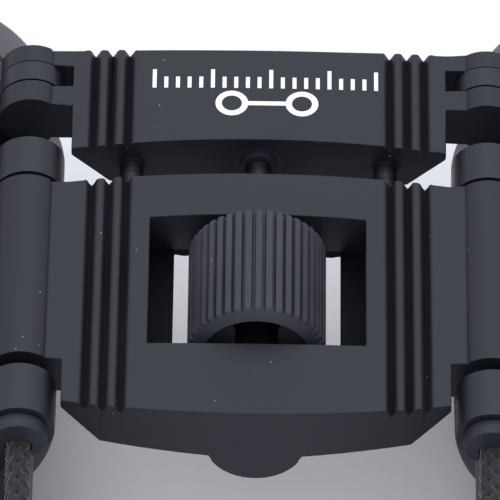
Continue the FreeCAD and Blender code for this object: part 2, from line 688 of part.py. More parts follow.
def make_optics(name, across):
    tube(f"{name}_objective_ring", "boreRadius - ringWidth", "boreRadius - slidingGap",
         "objectiveRecess - frontReach", "objectiveLens", across, "barrelRadius")
    turned(f"{name}_objective_lens", [
        ("0", "objectiveLens - objectiveBulge + frontSag", "-faceBow"),
        ("(boreRadius - slidingGap) * domeShare", "objectiveLens"),
        ("boreRadius - slidingGap", "objectiveLens"),
        ("boreRadius - slidingGap", "objectiveLens + objectiveEdge"),
        ("(boreRadius - slidingGap) * domeShare", "objectiveLens + objectiveEdge"),
        ("0", "objectiveLens + objectiveEdge + rearBulge"),
    ], across, "barrelRadius")
    holder = tube(f"{name}_prism_holder", "0", "boreRadius - slidingGap", "prismStart", "prismEnd", across,
                  "barrelRadius")
    square = [(f"{x} * prismHalf", f"{z} * prismHalf") for x, z in ((-1, -1), (1, -1), (1, 1), (-1, 1))]
    extrude(holder, "XZ_Plane", [square], "prismStart - 1", "prismEnd + 1", cut=True)
    half = "(prismHalf - glassMargin)"
    first, last = "prismStart + prismInset", "prismEnd - prismInset"
    slant = "prismStart + prismSlant * prismLength"
    front_glass = [(first, f"-{half}"), (first, half), (slant, half),
            (f"{slant} + prismSlant * prismLength", f"-{half}")]
    rear_glass = [(f"{slant} + prismAir", half), (last, half), (last, "-prismHalf / 4"),
                  (f"{slant} + prismSlant * prismLength + prismAir", f"-{half}")]
    for label, glass in ((f"{name}_half_prism", front_glass), (f"{name}_roof_prism", rear_glass)):
        body = body_for(label, across, "barrelRadius")
        extrude(body, "YZ_Plane", [glass], f"-{half}", half)


def make_eyepiece(name, side):
    across = f"{side} * barrelAcross"
    # the housing slides in the barrel; its knuckle turns on the eyepiece bridge's pin
    neck = "neckRadius" if side < 0 else "ringRadius"
    inner = "knuckleStart - ocularReach"
    housing = turned(f"{name}_eyepiece_housing", [
        ("ocularBore", inner), ("ocularRadius", inner), ("ocularRadius", "knuckleStart"),
        ("barrelRadius - fineEdge", "knuckleStart"), ("barrelRadius", "knuckleStart + fineEdge"),
        ("barrelRadius", "flangeEnd - roundEdge"), ("barrelRadius - roundEdge", "flangeEnd"),
        (neck, "flangeEnd"), (neck, "neckEnd"), ("ocularBore", "neckEnd"),
    ], across, "barrelRadius")
    lug(housing, side, "eyeEarRadius", "knuckleStart", "knuckleEnd", "(barrelRadius - lugRoot)")
    extrude(housing, "XZ_Plane", [(f"{-side} * armAcross", "armDown", "eyePinRadius + slidingGap")],
            "knuckleStart - 1", "knuckleEnd + 1", cut=True)
    if side < 0:
        tube("diopter_ring", "neckRadius + slidingGap", "ringRadius", "flangeEnd + ringGap",
             "flangeEnd + ringGap + ringLength", across, "barrelRadius")
    cell_end = "cellStart + cellFlange"
    stop = "cellBore - stopWidth"
    field, eye = "knuckleStart - ocularReach + fieldRecess", "cellStart - lensEdge - eyeRecess"
    turned(f"{name}_ocular_cell", [
        ("cellBore", field), ("cellRadius", field), ("cellRadius", "cellStart"),
        ("neckRadius", "cellStart"),
        ("neckRadius", cell_end), ("cellBore", cell_end), ("cellBore", eye), (stop, eye),
        (stop, f"{eye} - stopLength"),
        ("cellBore", f"{eye} - stopLength"), ("cellBore", f"{field} + fieldSeat + lensEdge + stopLength"),
        (stop, f"{field} + fieldSeat + lensEdge + stopLength"), (stop, f"{field} + fieldSeat + lensEdge"),
        ("cellBore", f"{field} + fieldSeat + lensEdge"),
    ], across, "barrelRadius")
    radius = "cellBore - slidingGap"
    for label, start in ((f"{name}_field_lens", f"{field} + fieldSeat"), (f"{name}_eye_lens", eye)):
        turned(label, [
            ("0", start), (radius, start), (radius, f"{start} + lensEdge"),
            (f"{radius} - lensRim", f"{start} + lensEdge"), ("0", f"{start} + lensEdge + lensRise"),
        ], across, "barrelRadius")
    tube(f"{name}_lens_ring", "cellBore - stopWidth - lensRise", radius, f"{eye} + lensEdge",
            f"{eye} + lensEdge + lensRingLength", across,
         "barrelRadius")
    rim = "rearReach"
    turned(f"{name}_eyecup", [
        ("neckRadius", "cellStart"), ("eyecupRadius", "cellStart"), ("eyecupRadius", f"{rim} - cupEdge"),
        ("eyecupRadius - cupEdge", rim), ("eyecupRadius - 2 * cupEdge", rim),
        ("cellBore + cupLip", f"{cell_end} + cupLip"),
        ("cellBore + cupLip", cell_end), ("neckRadius", cell_end),
    ], across, "barrelRadius")


def rounded_path(points):
    # straight runs joined by tangent arcs, each as large as its two runs allow
    edges, radii, here = [], [], points[0]
    for before, corner, after in zip(points, points[1:], points[2:]):
        back, ahead = before - corner, after - corner
        step = 0.45 * min(back.Length, ahead.Length)
        turn = math.pi - back.getAngle(ahead)
        radius = step / math.tan(turn / 2)
        back.normalize()
        ahead.normalize()
        bisector = (back + ahead).normalize()
        depth = radius / math.cos(turn / 2) - radius
        first, last = corner + back * step, corner + ahead * step
        edges.append(Part.LineSegment(here, first).toShape())
        edges.append(Part.Arc(first, corner + bisector * depth, last).toShape())
        radii.append(radius)
        here = last
    edges.append(Part.LineSegment(here, points[-1]).toShape())
    return Part.Wire(edges), radii


# the free stretch of the lanyard on the left, from its cap to the coil; the right one mirrors it
cord_route = [
    (19.5, -9.6, 26.2), (19.5, -19.0, 26.1), (18.4, -30.0, 25.7), (15.4, -41.5, 24.3),
    (13.9, -49.0, 18.0), (13.2, -55.0, 11.8), (12.8, -61.5, 8.4), (12.5, -68.5, 7.2),
]


def make_lanyard():
    radius = value("cordRadius")
    for name, side in (("left", 1), ("right", -1)):
        points = [Vector(side * x, y, z) for x, y, z in cord_route]
        start = Vector(side * value("hingeAcross"),
                value("nearFace - nearLugLead - capPlay - capLength + cordSeat"),
                       value("hingeHeight - cordDrop"))
        points[0] = start
        points[1] = Vector(start.x, points[1].y, start.z)
        path, radii = rounded_path(points)
        along = points[1] - points[0]
        section = Part.Wire([Part.Circle(points[0], along, radius).toShape()])
        lead = doc.addObject("Part::Feature", f"lanyard_lead_{name}")
        lead.Shape = path.makePipeShell([section], True, False)
        lead.Label = f"lanyard_lead_{name}"
        pieces[lead.Label] = lead
        print(lead.Label, "length", round(path.Length, 1), "radii", [round(r, 1) for r in radii],
              "volume ratio", round(lead.Shape.Volume / (path.Length * math.pi * radius ** 2), 4))
    coil = body_for("lanyard_coil", "0", "0")
    bind(coil, "Placement.Base.y", "-coilFront")
    inner, outer = "coilMiddle - coilHalf", "coilMiddle + coilHalf"
    sketch = sketch_on(coil, "XZ_Plane", [[
        (inner, "1"), (f"{inner} + 1", "0"), (f"{outer} - 1", "0"), (outer, "1"), (outer, "coilHeight - 1"),
        (f"{outer} - 1", "coilHeight"), (f"{inner} + 1", "coilHeight"), (inner, "coilHeight - 1"),
    ]])
    ring = coil.newObject("PartDesign::Revolution", "Turn")
    ring.Profile = sketch
    ring.ReferenceAxis = (sketch, ["V_Axis"])
    ring.Angle = 360


make_main_bridge()
make_floor_plate()
make_floor_screws()
make_focus_drive()
make_eyepiece_bridge()
make_side("left", 1)
make_side("right", -1)
make_lanyard()
doc.recompute()

for thing in doc.Objects:
    if {"Invalid", "Error"} & set(thing.State):
        raise ValueError(f"{thing.Label} did not recompute: {thing.State}")
for label, piece in pieces.items():
    if piece.Shape.isNull() or not piece.Shape.isValid() or not piece.Shape.Solids:
        raise ValueError(f"{label} has no valid solid")

os.makedirs("parts", exist_ok=True)
for label, piece in pieces.items():
    piece.Shape.exportStep(f"parts/{label}.step")
print(len(pieces), "pieces written")
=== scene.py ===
import json
import math
import random
import bmesh
import bpy
from mathutils import Matrix, Vector


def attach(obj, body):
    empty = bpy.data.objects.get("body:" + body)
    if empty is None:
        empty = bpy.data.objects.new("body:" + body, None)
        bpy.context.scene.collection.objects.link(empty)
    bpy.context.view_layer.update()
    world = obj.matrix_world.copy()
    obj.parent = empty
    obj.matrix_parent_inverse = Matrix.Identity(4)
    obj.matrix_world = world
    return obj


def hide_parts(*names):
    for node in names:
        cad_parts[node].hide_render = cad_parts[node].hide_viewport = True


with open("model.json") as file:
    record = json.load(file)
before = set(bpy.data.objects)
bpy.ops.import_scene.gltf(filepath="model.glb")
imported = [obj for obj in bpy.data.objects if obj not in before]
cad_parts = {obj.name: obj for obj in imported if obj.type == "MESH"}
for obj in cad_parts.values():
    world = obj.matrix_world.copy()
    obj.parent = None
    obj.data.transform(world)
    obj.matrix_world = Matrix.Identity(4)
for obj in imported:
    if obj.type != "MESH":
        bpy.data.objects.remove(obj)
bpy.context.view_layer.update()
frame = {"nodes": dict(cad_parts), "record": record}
mm = 0.001
random.seed(7)

# camera: a long lens, looking down at the bridge from in front of the objectives
camera = {
    "lookAt": (-0.64, 8.21, 29.0),
    "distance": 533.4,
    "elevation": 49.68,
    "turn": -0.16,
    "roll": -0.92,
    "lens": 457.3,
    "sensor": 36.0,
}


def makeCamera():
    elevation, turn, roll = (math.radians(camera[k]) for k in ("elevation", "turn", "roll"))
    level = math.cos(elevation)
    back = Vector((math.sin(turn) * level, -math.cos(turn) * level, math.sin(elevation)))
    right = Vector((math.cos(turn), math.sin(turn), 0))
    up = back.cross(right)
    rolledRight = right * math.cos(roll) - up * math.sin(roll)
    rolledUp = right * math.sin(roll) + up * math.cos(roll)
    data = bpy.data.cameras.new("camera")
    data.lens, data.sensor_width = camera["lens"], camera["sensor"]
    data.clip_start, data.clip_end = 0.05, 20
    eye = bpy.data.objects.new("camera", data)
    bpy.context.scene.collection.objects.link(eye)
    turned = Matrix((rolledRight, rolledUp, back)).transposed().to_4x4()
    place = (Vector(camera["lookAt"]) + back * camera["distance"]) * mm
    eye.matrix_world = Matrix.Translation(place) @ turned
    bpy.context.scene.camera = eye


# studio: a pale floor and sky, a broad soft light above and behind, and a small one in front
studio = {
    "floorColour": "#f9fafc",
    "floorHalf": 3.0,
    "skyColour": "#f3f5fc",
    "skyStrength": 1.1,
    "lights": {
        "keySoftbox": {"place": (0.05, 0.55, 0.75), "size": 0.8, "power": 1.6, "colour": "#ffffff"},
        "frontFill": {"place": (-0.06, -0.5, 0.62), "size": 0.24, "power": 1.1, "colour": "#f6f8ff"},
    },
}


def toLinear(text):
    parts = [int(text[i:i + 2], 16) / 255 for i in (1, 3, 5)]
    return tuple(p / 12.92 if p <= 0.04045 else ((p + 0.055) / 1.055) ** 2.4 for p in parts) + (1.0,)


def addNode(material, kind, settings=None, links=None):
    # settings name a socket or a property; links name a socket and where it comes from
    tree = material.node_tree
    node = tree.nodes.new(kind)
    for name, value in (settings or {}).items():
        if isinstance(name, int) or name in node.inputs:
            node.inputs[name].default_value = value
        else:
            setattr(node, name, value)
    for name, source in (links or {}).items():
        tree.links.new(source, node.inputs[name])
    return node


def newMaterial(name):
    material = bpy.data.materials.new(name)
    material.use_nodes = True
    material.node_tree.nodes.clear()
    return material


def finishMaterial(material, shader):
    addNode(material, "ShaderNodeOutputMaterial", links={"Surface": shader.outputs[0]})
    return material


def ramp(material, factor, stops):
    node = addNode(material, "ShaderNodeValToRGB", links={"Fac": factor})
    while len(node.color_ramp.elements) < len(stops):
        node.color_ramp.elements.new(0.5)
    for element, (at, colour) in zip(node.color_ramp.elements, stops):
        element.position, element.color = at, toLinear(colour)
    return node.outputs["Color"]


# the black plastics give back a slightly cool light
coolSheen = (0.84, 0.87, 1.0, 1.0)


def mouldedPlastic(name, colours, roughness, grain, depth, dust=0.0, specular=0.5):
    # ABS from a spark-eroded mould: a fine even grain that scatters the sheen, with a little dust on it
    material = newMaterial(name)
    where = addNode(material, "ShaderNodeTexCoord").outputs["Object"]
    broad = addNode(material, "ShaderNodeTexNoise", {"Scale": 140.0, "Detail": 4.0}, {"Vector": where})
    colour = ramp(material, broad.outputs["Fac"], [(0.3, colours[0]), (0.7, colours[1])])
    # the grain is 0.05 mm on the real one, and drawn three times as coarse so that it shows
    fine = addNode(material, "ShaderNodeTexNoise", {"Scale": 1 / (grain * mm), "Detail": 3.0},
                   {"Vector": where})
    uneven = addNode(material, "ShaderNodeMapRange", {"To Min": roughness - 0.05, "To Max": roughness + 0.07},
                     {"Value": broad.outputs["Fac"]})
    bump = addNode(material, "ShaderNodeBump", {"Strength": depth, "Distance": 0.00005},
                   {"Height": fine.outputs["Fac"]})
    shader = addNode(material, "ShaderNodeBsdfPrincipled",
                     {"Specular IOR Level": specular, "IOR": 1.53, "Specular Tint": coolSheen},
                     {"Roughness": uneven.outputs["Result"], "Normal": bump.outputs["Normal"]})
    if dust:
        # specks of 0.07 mm, one in a few of the cells of a coarse grid
        cells = addNode(material, "ShaderNodeTexVoronoi", {"Scale": 620.0}, {"Vector": where})
        speck = addNode(material, "ShaderNodeMath", {"operation": "LESS_THAN", 1: 0.045},
                        {0: cells.outputs["Distance"]})
        chosen = addNode(material, "ShaderNodeSeparateColor", links={"Color": cells.outputs["Color"]})
        few = addNode(material, "ShaderNodeMath", {"operation": "GREATER_THAN", 1: 1 - dust},
                      {0: chosen.outputs["Red"]})
        both = addNode(material, "ShaderNodeMath", {"operation": "MULTIPLY"},
                       {0: speck.outputs[0], 1: few.outputs[0]})
        mixed = addNode(material, "ShaderNodeMix", {"data_type": "RGBA"}, {"Factor": both.outputs[0]})
        mixed.inputs[7].default_value = toLinear("#7d8086")
        material.node_tree.links.new(colour, mixed.inputs[6])
        colour = mixed.outputs[2]
    material.node_tree.links.new(colour, shader.inputs["Base Color"])
    return finishMaterial(material, shader)


def mouldedRubber(name, colours, roughness):
    # thermoplastic rubber: matt, with a soft blotchy bloom and a leathery grain
    material = newMaterial(name)
    where = addNode(material, "ShaderNodeTexCoord").outputs["Object"]
    bloom = addNode(material, "ShaderNodeTexNoise", {"Scale": 90.0, "Detail": 5.0}, {"Vector": where})
    grain = addNode(material, "ShaderNodeTexVoronoi", {"Scale": 2300.0}, {"Vector": where})
    bump = addNode(material, "ShaderNodeBump", {"Strength": 0.35, "Distance": 0.00008},
                   {"Height": grain.outputs["Distance"]})
    shader = addNode(material, "ShaderNodeBsdfPrincipled",
                     {"Roughness": roughness, "IOR": 1.5, "Specular IOR Level": 0.4},
                     {"Normal": bump.outputs["Normal"],
                      "Base Color": ramp(material, bloom.outputs["Fac"],
                                         [(0.3, colours[0]), (0.75, colours[1])])})
    return finishMaterial(material, shader)


def turnedMetal(name, colours, roughness):
    # fine lathe lines round the Y axis show as a silky stretched sheen
    material = newMaterial(name)
    where = addNode(material, "ShaderNodeTexCoord").outputs["Object"]
    squeezed = addNode(material, "ShaderNodeMapping", {"Scale": (60.0, 9000.0, 60.0)}, {"Vector": where})
    lines = addNode(material, "ShaderNodeTexNoise", {"Scale": 1.0, "Detail": 3.0},
                    {"Vector": squeezed.outputs["Vector"]})
    bump = addNode(material, "ShaderNodeBump", {"Strength": 0.25, "Distance": 0.00002},
                   {"Height": lines.outputs["Fac"]})
    shader = addNode(material, "ShaderNodeBsdfPrincipled", {"Metallic": 1.0, "Roughness": roughness},
                     {"Normal": bump.outputs["Normal"],
                      "Base Color": ramp(material, lines.outputs["Fac"],
                                         [(0.3, colours[0]), (0.7, colours[1])])})
    return finishMaterial(material, shader)


def opticalGlass(name, coating):
    # crown glass with a thin film whose reflection is tinted; the barrel behind it is black
    material = newMaterial(name)
    edge = addNode(material, "ShaderNodeLayerWeight", {"Blend": 0.35})
    tint = ramp(material, edge.outputs["Facing"], [(0.0, coating[0]), (0.6, coating[1]), (1.0, coating[2])])
    body = addNode(material, "ShaderNodeBsdfPrincipled",
                   {"Base Color": toLinear("#07070b"), "Roughness": 0.04, "IOR": 1.52, "Coat Weight": 1.0,
                    "Coat Roughness": 0.02, "Coat IOR": 1.6})
    film = addNode(material, "ShaderNodeBsdfGlossy", {"Roughness": 0.05}, {"Color": tint})
    both = addNode(material, "ShaderNodeMixShader", {0: 0.22})
    material.node_tree.links.new(body.outputs[0], both.inputs[1])
    material.node_tree.links.new(film.outputs[0], both.inputs[2])
    return finishMaterial(material, both)


def braidedNylon(name):
    # nylon braid: dull black yarn with a faint sheen and slightly lighter worn crowns
    material = newMaterial(name)
    where = addNode(material, "ShaderNodeTexCoord").outputs["Object"]
    yarn = addNode(material, "ShaderNodeTexNoise", {"Scale": 7000.0, "Detail": 2.0}, {"Vector": where})
    bump = addNode(material, "ShaderNodeBump", {"Strength": 0.5, "Distance": 0.00005},
                   {"Height": yarn.outputs["Fac"]})
    shader = addNode(material, "ShaderNodeBsdfPrincipled",
                     {"Roughness": 0.7, "Sheen Weight": 0.25, "Sheen Roughness": 0.5,
                      "Specular IOR Level": 0.4},
                     {"Normal": bump.outputs["Normal"],
                      "Base Color": ramp(material, yarn.outputs["Fac"],
                                         [(0.35, "#0d0d0f"), (0.7, "#1d1d21")])})
    return finishMaterial(material, shader)


def plainInk(name, colour):
    # pad-printed ink: dense and slightly satin, thin at its edges
    material = newMaterial(name)
    where = addNode(material, "ShaderNodeTexCoord").outputs["Object"]
    speckle = addNode(material, "ShaderNodeTexNoise", {"Scale": 6000.0, "Detail": 3.0}, {"Vector": where})
    shader = addNode(material, "ShaderNodeBsdfPrincipled", {"Roughness": 0.5},
                     {"Base Color": ramp(material, speckle.outputs["Fac"],
                                         [(0.25, "#c9ccd2"), (0.45, colour)])})
    return finishMaterial(material, shader)


def paperFloor(name):
    # seamless backdrop paper: matt and nearly even
    material = newMaterial(name)
    where = addNode(material, "ShaderNodeTexCoord").outputs["Object"]
    fibre = addNode(material, "ShaderNodeTexNoise", {"Scale": 900.0, "Detail": 2.0}, {"Vector": where})
    shader = addNode(material, "ShaderNodeBsdfPrincipled", {"Roughness": 0.9, "Specular IOR Level": 0.1},
                     {"Base Color": ramp(material, fibre.outputs["Fac"],
                                         [(0.3, studio["floorColour"]), (0.7, "#fdfdff")])})
    return finishMaterial(material, shader)


finishes = {
    "bridgeAbs": mouldedPlastic("mouldedBlackAbs", ("#0b0c12", "#121319"), 0.5, 0.16, 0.32, dust=0.34,
                                specular=0.47),
    "barrelAbs": mouldedPlastic("mouldedBarrelAbs", ("#0d0e15", "#15161d"), 0.46, 0.16, 0.3, dust=0.1),
    "wheelAbs": mouldedPlastic("satinWheelAbs", ("#323339", "#3e3f45"), 0.56, 0.3, 0.2, dust=0.4,
                               specular=0.3),
    # near-black with a weak sheen: painted shade for the floor plate and the wheel hub, which sit deep in the
    # bridge's window
    "paintedShadeAbs": mouldedPlastic("paintedShadeInnerAbs", ("#050508", "#08080b"), 0.6, 0.16, 0.2, specular=0.12),
    "fittingAbs": mouldedPlastic("satinFittingAbs", ("#1d1e25", "#292a32"), 0.45, 0.25, 0.12, specular=0.4),
    "rubber": mouldedRubber("gripRubber", ("#151517", "#202023"), 0.78),
    "cupRubber": mouldedRubber("eyecupRubber", ("#525257", "#5d5d62"), 0.5),
    "brass": turnedMetal("turnedBrass", ("#a8863f", "#c9a860"), 0.32),
    "blackSteel": turnedMetal("blackenedSteel", ("#34343a", "#4c4c53"), 0.48),
    "objectiveGlass": opticalGlass("objectiveGlass", ("#5a2b6a", "#355a96", "#8aa3c8")),
    "eyeGlass": opticalGlass("eyeGlass", ("#2f5f56", "#3c3f86", "#92a0c0")),
    "cord": braidedNylon("braidedNylon"),
    "ink": plainInk("whiteInk", "#f5f6f8"),
}
print("materials made")


def addPiece(name, mesh, body, finish, replaces=()):
    piece = bpy.data.objects.new(name, mesh)
    bpy.context.scene.collection.objects.link(piece)
    mesh.materials.clear()
    mesh.materials.append(finishes[finish])
    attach(piece, body)
    if replaces:
        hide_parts(*replaces)
    return piece


# moulded radii: wide ones on the shoulders of the bridges' grooves, fine ones on the other sharp edges
moulding = {
    "shoulderRadius": 0.2,
    "shoulderLongerThan": 3,
    "shoulderAbove": 28.7,
    "shoulderFrom": 10,
    "shoulderTo": 15.5,
    "roundedLongerThan": 0.42,
    "sharpDegrees": 32,
    "mergeWithin": 0.002,
    "flatDegrees": 0.12,
}


def rounded(bm, width):
    def isSharp(edge):
        return len(edge.link_faces) == 2 and edge.calc_face_angle(0) > math.radians(moulding["sharpDegrees"])

    def isShoulder(edge):
        a, b = (v.co / mm for v in edge.verts)
        across = moulding["shoulderFrom"] < abs(a.x) < moulding["shoulderTo"]
        long = abs(a.y - b.y) > moulding["shoulderLongerThan"]
        return across and long and min(a.z, b.z) > moulding["shoulderAbove"]

    shoulders = [e for e in bm.edges if isSharp(e) and isShoulder(e)]
    bmesh.ops.bevel(bm, geom=shoulders, offset=moulding["shoulderRadius"] * mm, segments=3, profile=0.5,
                    affect="EDGES", material=-1)
    fine = [e for e in bm.edges if isSharp(e) and e.calc_length() > moulding["roundedLongerThan"] * mm]
    bmesh.ops.bevel(bm, geom=fine, offset=width * mm, segments=2, profile=0.5, affect="EDGES", material=-1)


def smoothed(bm, angle=32):
    for face in bm.faces:
        face.smooth = True
    for edge in bm.edges:
        if len(edge.link_faces) == 2:
            edge.smooth = edge.calc_face_angle(0) < math.radians(angle)


# pieces whose CAD shape is right: a merged copy gets moulded radii and its finish
dressed = {
    "main_bridge": ("bridgeAbs", 0.12),
    # the floor plate is made near-black as painted shade for the window's deep pockets
    "bridge_floor_plate": ("paintedShadeAbs", 0.12),
    "eyepiece_bridge": ("bridgeAbs", 0.12),
    "left_barrel_tube": ("barrelAbs", 0.12),
    "right_barrel_tube": ("barrelAbs", 0.12),
    "left_eyepiece_housing": ("barrelAbs", 0.12),
    "right_eyepiece_housing": ("barrelAbs", 0.12),
    "left_lanyard_cap": ("fittingAbs", 0.1),
    "right_lanyard_cap": ("fittingAbs", 0.1),
}
bodyOf = {node: body for body, nodes in frame["record"]["behaviour"]["bodies"].items() for node in nodes}


def dressNode(node, finish, width):
    bm = bmesh.new()
    bm.from_mesh(frame["nodes"][node].data)
    bmesh.ops.remove_doubles(bm, verts=bm.verts, dist=moulding["mergeWithin"] * mm)
    bmesh.ops.dissolve_limit(bm, angle_limit=math.radians(moulding["flatDegrees"]), verts=bm.verts,
                             edges=bm.edges)
    rounded(bm, width)
    smoothed(bm)
    mesh = bpy.data.meshes.new(node + "_moulded")
    bm.to_mesh(mesh)
    bm.free()
    piece = addPiece(node + "_moulded", mesh, bodyOf[node], finish, (node,))
    normals = piece.modifiers.new("flatFaces", "WEIGHTED_NORMAL")
    normals.keep_sharp = True


for node, (finish, width) in dressed.items():
    dressNode(node, finish, width)
print("bridges and barrels dressed")

# CAD nodes that keep their own mesh
kept = {
    "brass": ("front_shaft_bush", "rear_shaft_bush"),
    # the wheel hub is made near-black as painted shade for the wheel's dark recess
    "paintedShadeAbs": ("wheel_hub",),
    "fittingAbs": ("focus_nut",),
    "blackSteel": ("floor_plate_screws", "left_hinge_pin", "right_hinge_pin", "left_eyepiece_pin",
                   "right_eyepiece_pin", "left_guide_rod", "right_guide_rod", "focus_screw",
                   "front_thrust_washer", "rear_thrust_washer"),
}
for finish, nodes in kept.items():
    for node in nodes:
        mesh = frame["nodes"][node].data
        mesh.materials.clear()
        mesh.materials.append(finishes[finish])
for side in ("left", "right"):
    for part, finish in (("objective_ring", "fittingAbs"), ("prism_holder", "fittingAbs"),
                         ("ocular_cell", "fittingAbs"), ("lens_ring", "fittingAbs"),
                         ("field_lens", "eyeGlass"), ("half_prism", "eyeGlass"),
                         ("roof_prism", "eyeGlass"), ("eye_lens", "eyeGlass"),
                         ("objective_lens", "objectiveGlass")):
        mesh = frame["nodes"][f"{side}_{part}"].data
        mesh.materials.clear()
        mesh.materials.append(finishes[finish])
print("kept nodes finished")

# ribbed pieces turned about the Y axis: each step is (radius, rib depth, along), all in mm
barrelX, barrelZ = 31.003, 14.0
ribbed = {
    "focus_wheel": {"finish": "wheelAbs", "across": 0.0, "up": 26.352, "ribs": 42, "crest": 8, "cycle": 12,
                    "steps": [(2.0, 0, 2.5), (3.9, 0, 2.5), (4.4, 0, 2.3), (4.4, 0, -0.95), (4.5, 0, -1.1),
                              (4.65, 0, -1.08), (5.38, 0, -0.8), (5.72, 0.34, -0.7), (5.8, 0.4, -0.6),
                              (5.8, 0.4, 9.9), (5.74, 0.34, 10.0), (5.38, 0, 10.04), (4.6, 0, 10.1),
                              (4.4, 0, 9.85), (4.4, 0, 6.7), (3.9, 0, 6.5), (2.0, 0, 6.5)]},
    "diopter_ring": {"finish": "wheelAbs", "across": -barrelX, "up": barrelZ, "ribs": 52, "crest": 2,
                     "cycle": 4,
                     "steps": [(11.25, 0, 31.25), (12.7, 0, 31.25), (13.05, 0, 31.4), (13.2, 0.3, 31.6),
                               (13.2, 0.3, 33.5), (13.05, 0, 33.75), (12.7, 0, 34.05), (11.25, 0, 34.05)]},
}
for side, sign in (("left", 1), ("right", -1)):
    ribbed[f"{side}_barrel_grip"] = {
        "finish": "rubber", "across": sign * barrelX, "up": barrelZ, "ribs": 44, "crest": 4, "cycle": 6,
        "steps": [(13.0, 0, 2.05), (13.75, 0, 2.05), (14.0, 0, 2.3), (14.0, 0, 3.2), (14.0, 0.4, 3.6),
                  (14.0, 0.4, 13.9), (14.0, 0, 14.3), (14.0, 0, 15.2), (13.75, 0, 15.45), (13.0, 0, 15.45)]}
    ribbed[f"{side}_eyecup"] = {
        "finish": "cupRubber", "across": sign * barrelX, "up": barrelZ, "ribs": 32, "crest": 4, "cycle": 4,
        "steps": [(11.2, 0, 35.3), (11.8, 0, 35.3), (12.0, 0, 35.5), (12.0, 0, 39.1), (11.9, 0, 39.5),
                  (11.65, 0, 39.82), (11.3, 0, 39.93), (10.85, 0, 39.8), (10.5, 0, 39.3), (9.1, 0, 37.4),
                  (8.7, 0, 37.0), (8.7, 0, 36.98), (11.2, 0, 36.95)]}


def ribbedTurn(node, spec):
    segments = spec["ribs"] * spec["cycle"]
    bm = bmesh.new()
    bmesh.ops.create_circle(bm, segments=segments, radius=1.0)
    bmesh.ops.rotate(bm, verts=bm.verts, cent=(0, 0, 0), matrix=Matrix.Rotation(math.pi / 2, 3, "X"))
    loop = sorted(bm.verts, key=lambda v: math.atan2(v.co.z, v.co.x))
    directions = [Vector((v.co.x, 0, v.co.z)).normalized() for v in loop]

    def setLoop(verts, step):
        radius, depth, along = step
        for index, (vert, way) in enumerate(zip(verts, directions)):
            inGroove = index % spec["cycle"] >= spec["crest"]
            vert.co = way * (radius - (depth if inGroove else 0)) * mm + Vector((0, along * mm, 0))

    setLoop(loop, spec["steps"][0])
    edges = list(bm.edges)
    for step in spec["steps"][1:]:
        grown = bmesh.ops.extrude_edge_only(bm, edges=edges)["geom"]
        verts = [g for g in grown if isinstance(g, bmesh.types.BMVert)]
        edges = [g for g in grown if isinstance(g, bmesh.types.BMEdge)]
        edges = [e for e in edges if all(v in set(verts) for v in e.verts)]
        loop = sorted(verts, key=lambda v: math.atan2(v.co.z, v.co.x))
        setLoop(loop, step)
    ring = [e for e in bm.edges if len(e.link_faces) == 1]
    bmesh.ops.bridge_loops(bm, edges=ring)
    bmesh.ops.recalc_face_normals(bm, faces=bm.faces)
    bmesh.ops.translate(bm, verts=bm.verts, vec=(spec["across"] * mm, 0, spec["up"] * mm))
    smoothed(bm, 38)
    mesh = bpy.data.meshes.new(node + "_ribbed")
    bm.to_mesh(mesh)
    bm.free()
    return addPiece(node + "_ribbed", mesh, bodyOf[node], spec["finish"], (node,))


for node, spec in ribbed.items():
    ribbedTurn(node, spec)
print("wheel, ring, grips and eyecups ribbed")

# the lanyard: out of the left cap, down to the floor, into a neat coil and back to the right cap
lanyard = {
    "diameter": 2.2,
    "length": 0.86,
    "lead": [(19.5, -9.55, 26.15), (19.5, -19.0, 26.15), (18.4, -30.0, 25.7), (15.4, -41.5, 24.3),
             (13.9, -49.0, 18.0), (13.2, -55.0, 11.8), (12.8, -61.5, 8.4)],
    "coilCentre": (0.0, -68.5),
    "turns": [(14.6, 5.6), (14.6, 3.3), (14.6, 1.15), (12.4, 1.15), (12.4, 3.3), (12.4, 5.5), (10.2, 5.6),
              (10.2, 3.3), (10.2, 1.15)],
    "lastTurn": (8.0, 3.4),
    "enterCoil": (12.6, 7.6),
    "leaveCoil": (12.6, 7.9),
    "enterPoints": 4,
    "stepsOverAt": 0.72,
    "uneven": 0.12,
    "pointsPerTurn": 14,
    "strands": 5,
    "strandRadius": 0.36,
    "layRadius": 0.68,
    "wave": 0.1,
    "pitch": 8.0,
    "step": 0.56,
    "tie": {"across": 7.4, "high": 7.5, "width": 6.0, "corner": 1.8, "thick": 0.3},
}


def coilPoints():
    # clockwise from above: in on the left, out on the right after nine turns and a half
    count, (cx, cy) = lanyard["pointsPerTurn"], lanyard["coilCentre"]
    turns = lanyard["turns"] + [lanyard["lastTurn"]]
    (enterR, enterZ), enterPoints, over = lanyard["enterCoil"], lanyard["enterPoints"], lanyard["stepsOverAt"]
    points = []
    for turn, (radius, up) in enumerate(turns):
        last = turn == len(turns) - 1
        after = lanyard["leaveCoil"] if last else turns[turn + 1]
        steps = count // 2 + 1 if last else count
        for k in range(steps):
            share = k / (count / 2) if last else max(0.0, (k / count - over) / (1 - over))
            r, z = radius + (after[0] - radius) * share, up + (after[1] - up) * share
            if turn == 0 and k < enterPoints:
                r = enterR + (radius - enterR) * k / enterPoints
                z = enterZ + (up - enterZ) * k / enterPoints
            angle = -2 * math.pi * k / count
            r += random.uniform(-lanyard["uneven"], lanyard["uneven"])
            points.append((cx + r * math.cos(angle), cy + r * math.sin(angle), z))
    return points


